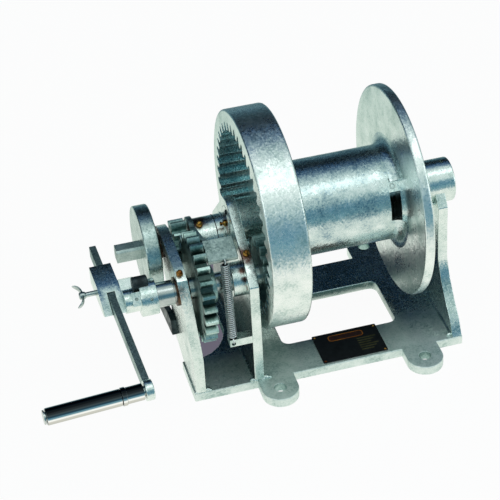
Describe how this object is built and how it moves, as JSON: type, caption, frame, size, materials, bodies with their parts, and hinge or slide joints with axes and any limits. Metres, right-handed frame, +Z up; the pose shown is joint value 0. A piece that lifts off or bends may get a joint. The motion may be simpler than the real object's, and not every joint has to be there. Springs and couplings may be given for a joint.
{
  "type": "hand winch",
  "caption": "Hand-cranked drum winch with internal ring gear, geared counter shaft, brake disc, sliding crank arm and a welded base with fixing ears.",
  "frame": {"origin": "the middle of the four fixing holes, on the underside of the base, below the drum axis", "axes": "+X along the drum axis away from the crank, +Z up, -Y towards the user"},
  "size_m": [0.5367, 0.3684, 0.3089],
  "materials": {
    "galvanised": "hot-dip galvanised, faint spangle",
    "machined": "turned bright steel",
    "bronze": "oiled bronze",
    "brass": "turned brass",
    "chrome": "bright chrome plating",
    "zinc": "bright zinc plating",
    "friction": "dull black friction lining",
    "dark_steel": "dark coated steel",
    "dull_zinc": "dull galvanised bar"
  },
  "bodies": {
    "frame": {"base_plate": "galvanised", "right_support": "galvanised", "right_boss": "galvanised", "middle_plate": "galvanised", "drum_boss": "galvanised", "counter_boss": "galvanised", "upper_housing": "galvanised", "outer_plate": "galvanised", "counter_bush": "bronze", "upper_bush": "bronze", "spring_lug": "galvanised", "side_tab": "dark_steel", "nipple_middle": "brass", "nipple_outer": "brass", "nipple_drum": "brass", "nipple_upper": "brass", "spring": "zinc"},
    "drum": {"drum_barrel": "galvanised", "drum_flange": "galvanised", "ring_gear": "galvanised", "ring_web": "galvanised", "drum_shaft": "machined"},
    "counter": {"counter_shaft": "machined", "spur_gear": "galvanised", "drive_pinion": "galvanised", "shaft_collar": "machined", "clutch_collar": "galvanised", "crank_hub": "galvanised", "hub_cap": "dark_steel", "crank_socket": "galvanised"},
    "arm": {"crank_arm": "dull_zinc", "grip_pin": "machined", "grip_boss": "galvanised"},
    "grip": {"grip_tube": "chrome", "grip_collar": "chrome"},
    "screw": {"wing_screw": "zinc"},
    "upper": {"input_shaft": "machined", "brake_disc": "galvanised", "friction_ring": "friction", "input_pinion": "galvanised"},
    "lever": {"release_lever": "galvanised"}
  },
  "joints": [
    {"name": "drum_turn", "type": "hinge", "parent": "frame", "child": "drum", "pos_m": [0, 0, 0.1783], "axis": [1, 0, 0], "continuous": true},
    {"name": "counter_turn", "type": "hinge", "parent": "frame", "child": "counter", "pos_m": [-0.211, -0.05871, 0.14017], "axis": [1, 0, 0], "continuous": true},
    {"name": "upper_turn", "type": "hinge", "parent": "frame", "child": "upper", "pos_m": [-0.161, 0.02348, 0.14737], "axis": [1, 0, 0], "continuous": true},
    {"name": "arm_slide", "type": "slide", "parent": "counter", "child": "arm", "axis": [0.0297, -0.9996, 0], "range_m": [-0.06, 0.06]},
    {"name": "grip_turn", "type": "hinge", "parent": "arm", "child": "grip", "pos_m": [-0.26147, -0.21464, 0.14017], "axis": [0.9979, 0.0645, 0], "continuous": true},
    {"name": "screw_turn", "type": "hinge", "parent": "counter", "child": "screw", "pos_m": [-0.29192, -0.03146, 0.14017], "axis": [0.9996, 0.0297, 0], "range_deg": [-90, 90]},
    {"name": "lever_swing", "type": "hinge", "parent": "frame", "child": "lever", "pos_m": [-0.144, 0.02348, 0.14737], "axis": [1, 0, 0], "range_deg": [-3, 5], "deforming": ["spring"]}
  ],
  "couplings": [
    {"joint": "counter_turn", "follows": "drum_turn", "ratio": 2.75},
    {"joint": "upper_turn", "follows": "drum_turn", "ratio": -7.3333}
  ]
}
